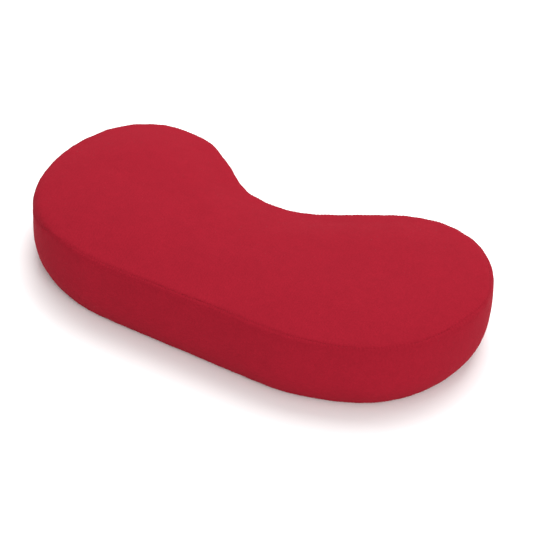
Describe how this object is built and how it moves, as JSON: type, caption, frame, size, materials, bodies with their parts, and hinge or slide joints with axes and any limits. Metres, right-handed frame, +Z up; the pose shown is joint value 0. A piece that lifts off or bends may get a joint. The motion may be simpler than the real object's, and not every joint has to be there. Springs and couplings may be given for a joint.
{
  "type": "chair cushion",
  "caption": "Firm kidney-shaped chair cushion in plain matt red cloth, with two round lobes, a bay between them and a sewn side band.",
  "frame": {"origin": "middle of the underside, on the surface that the cushion lies on", "axes": "+Z up out of the crowned top, +X along the cushion's length across both lobes, +Y towards the bay between the lobes, -Y towards the straight front edge"},
  "size_m": [0.45, 0.246, 0.0755],
  "materials": {
    "red_cloth": "matt plain-woven wool-like cloth with a short soft nap, deep red"
  },
  "bodies": {
    "root": {"cushion": "red_cloth"}
  },
  "joints": []
}
